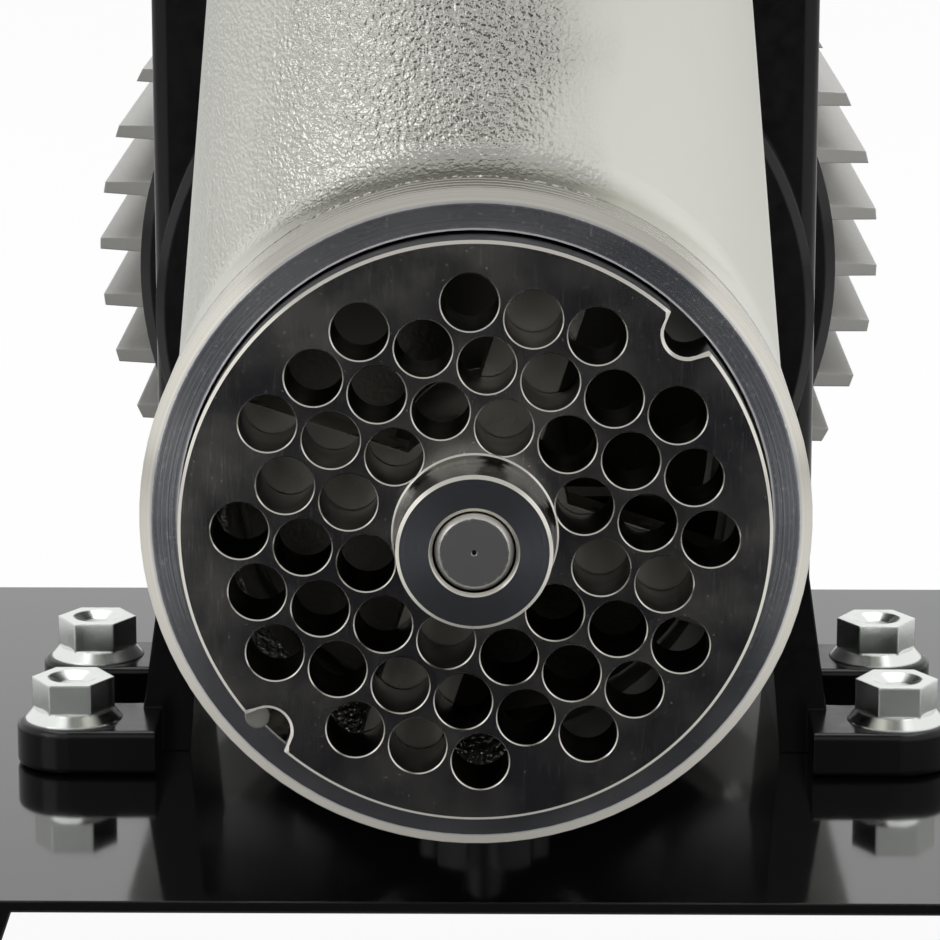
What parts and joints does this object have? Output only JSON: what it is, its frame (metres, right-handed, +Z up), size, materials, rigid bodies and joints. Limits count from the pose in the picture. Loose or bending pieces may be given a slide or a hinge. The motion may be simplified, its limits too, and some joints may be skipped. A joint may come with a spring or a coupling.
{
  "type": "electric meat grinder",
  "caption": "Bench meat grinder: tinned head with plate, knife and auger, feed tray, black gearbox, finned motor and sheet steel stand.",
  "frame": {"origin": "on the floor under the middle of the grinder's length and width", "axes": "+Z up, -Y towards the front where the plate is, +X to the right seen from the front"},
  "size_m": [0.25, 0.4476, 0.2878],
  "materials": {
    "black_enamel": "gloss black stove enamel",
    "black_casting": "black painted die casting",
    "tinned_iron": "hot tinned casting",
    "ground_steel": "turned and ground",
    "stainless": "brushed stainless sheet",
    "zinc": "zinc plated",
    "machine_steel": "machined",
    "laminations": "stacked sheet",
    "copper": "enamelled wire",
    "grey_aluminium": "die cast, grey",
    "grey_sheet": "grey painted pressing",
    "black_plastic": "moulded",
    "red_plastic": "moulded",
    "white_plastic": "moulded",
    "bronze": "sintered",
    "rubber": "moulded"
  },
  "bodies": {
    "stand": {"base_stand": "black_enamel", "rubber_feet": "rubber", "foot_screws": "zinc", "foot_nuts": "zinc", "gearbox_housing": "black_casting", "gearbox_cover": "black_casting", "cover_screws": "zinc", "housing_bolts": "zinc", "housing_nuts": "zinc", "output_bearing_front": "machine_steel", "output_bearing_rear": "machine_steel", "layshaft_bearing_front": "machine_steel", "layshaft_bearing_rear": "machine_steel", "output_seal": "rubber", "motor_shaft_seal": "rubber", "oil_plug": "zinc", "motor_front_bell": "black_casting", "bell_screws": "zinc", "motor_frame": "grey_aluminium", "stator_core": "laminations", "stator_windings": "copper", "motor_rear_bell": "grey_aluminium", "tie_rods": "zinc", "fan_cowl": "grey_sheet", "cowl_screws": "zinc", "motor_bearing_front": "machine_steel", "motor_bearing_rear": "machine_steel", "terminal_box": "black_plastic", "terminal_box_lid": "black_plastic", "lid_screws": "zinc", "start_capacitor": "white_plastic", "switch_frame": "black_plastic", "cable_gland": "black_plastic"},
    "rotor": {"rotor_shaft": "machine_steel", "motor_pinion": "machine_steel", "rotor_core": "laminations", "cooling_fan": "black_plastic"},
    "layshaft": {"layshaft_pinion": "machine_steel", "layshaft_gear": "machine_steel"},
    "output": {"output_shaft": "machine_steel", "output_gear": "machine_steel", "output_key": "machine_steel", "output_circlip": "machine_steel"},
    "head": {"grinder_head": "tinned_iron", "plate_pin": "ground_steel", "auger_bush": "bronze", "thrust_washer": "white_plastic"},
    "auger": {"auger": "tinned_iron", "auger_stud": "ground_steel", "knife": "ground_steel"},
    "plate": {"grinding_plate": "ground_steel"},
    "tray": {"feed_tray": "stainless"},
    "clamp_knob": {"head_clamp_knob": "black_plastic"},
    "rocker": {"switch_rocker": "red_plastic"}
  },
  "joints": [
    {"name": "rotor_spin", "type": "hinge", "parent": "stand", "child": "rotor", "pos_m": [0, 0, 0.125], "axis": [0, 1, 0], "continuous": true},
    {"name": "layshaft_spin", "type": "hinge", "parent": "stand", "child": "layshaft", "pos_m": [0, 0, 0.1745], "axis": [0, 1, 0], "continuous": true},
    {"name": "output_spin", "type": "hinge", "parent": "stand", "child": "output", "pos_m": [0, 0, 0.1295], "axis": [0, 1, 0], "continuous": true},
    {"name": "head_pull", "type": "slide", "parent": "stand", "child": "head", "axis": [0, -1, 0], "range_m": [0, 0.06]},
    {"name": "auger_spin", "type": "hinge", "parent": "head", "child": "auger", "pos_m": [0, 0, 0.1295], "axis": [0, 1, 0], "continuous": true},
    {"name": "plate_pull", "type": "slide", "parent": "head", "child": "plate", "axis": [0, -1, 0], "range_m": [0, 0.045]},
    {"name": "tray_lift", "type": "slide", "parent": "head", "child": "tray", "axis": [0, 0, 1], "range_m": [0, 0.06]},
    {"name": "clamp_turn", "type": "hinge", "parent": "stand", "child": "clamp_knob", "pos_m": [0, -0.00885, 0.0635], "axis": [0, 0, 1], "range_deg": [0, 360]},
    {"name": "switch_rock", "type": "hinge", "parent": "stand", "child": "rocker", "pos_m": [0.043, 0.12815, 0.226], "axis": [0, -1, 0], "range_deg": [0, 16]}
  ],
  "couplings": [
    {"joint": "layshaft_spin", "follows": "rotor_spin", "ratio": -0.24528},
    {"joint": "output_spin", "follows": "rotor_spin", "ratio": 0.089194},
    {"joint": "auger_spin", "follows": "rotor_spin", "ratio": 0.089194}
  ]
}
